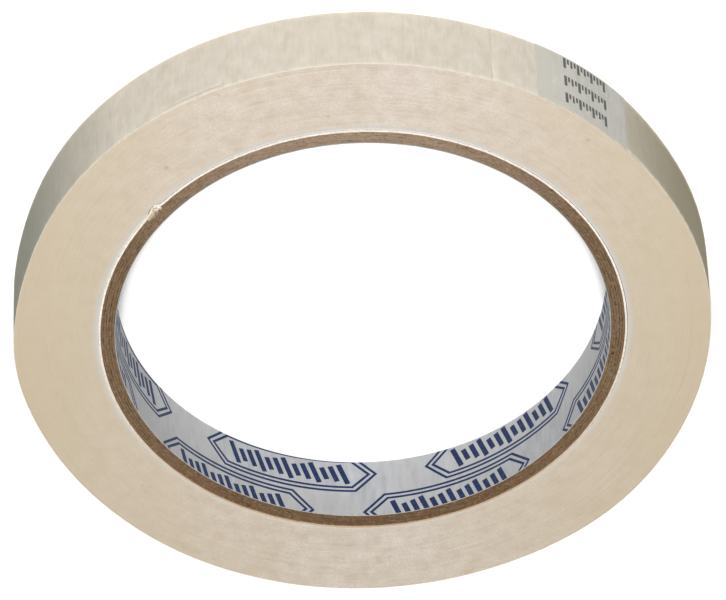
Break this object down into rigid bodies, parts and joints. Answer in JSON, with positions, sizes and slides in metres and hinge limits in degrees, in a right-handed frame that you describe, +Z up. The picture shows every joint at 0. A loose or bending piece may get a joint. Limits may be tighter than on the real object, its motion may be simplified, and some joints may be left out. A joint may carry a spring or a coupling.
{
  "type": "masking tape roll",
  "caption": "Narrow roll of cream crepe masking tape on a spirally wound paperboard core, with a peelable free end under a small length label.",
  "frame": {"origin": "centre of the lower face of the wound tape, on the roll's axis", "axes": "+Z up along the roll's axis, which is the core's bore; the free end leaves the winding at 213 degrees from +X towards +Y and its cut end lies at 247 degrees"},
  "size_m": [0.1071, 0.107, 0.0124],
  "materials": {
    "printed_liner": "smooth pale grey-blue paper, printed navy",
    "chipboard": "fibrous cut grey-brown board",
    "white_wrap": "white paper",
    "crepe_tape": "fine cream crepe, matt",
    "crepe_backing": "fine cream crepe, matt",
    "adhesive": "tacky, slightly glossy",
    "label_paper": "thin translucent white paper, grey print"
  },
  "bodies": {
    "roll": {"core_liner": "printed_liner", "core_board_1": "chipboard", "core_board_2": "chipboard", "core_board_3": "chipboard", "core_board_4": "chipboard", "core_board_5": "chipboard", "core_wrap": "white_wrap", "tape_winding": "crepe_tape"},
    "free_end": {"free_end_backing": "crepe_backing", "free_end_adhesive": "adhesive", "length_label": "label_paper"}
  },
  "joints": [
    {"name": "free_end_peel", "type": "hinge", "parent": "roll", "child": "free_end", "pos_m": [-0.04495, -0.02926, 0.0062], "axis": [0, 0, -1], "range_deg": [0, 90]}
  ]
}
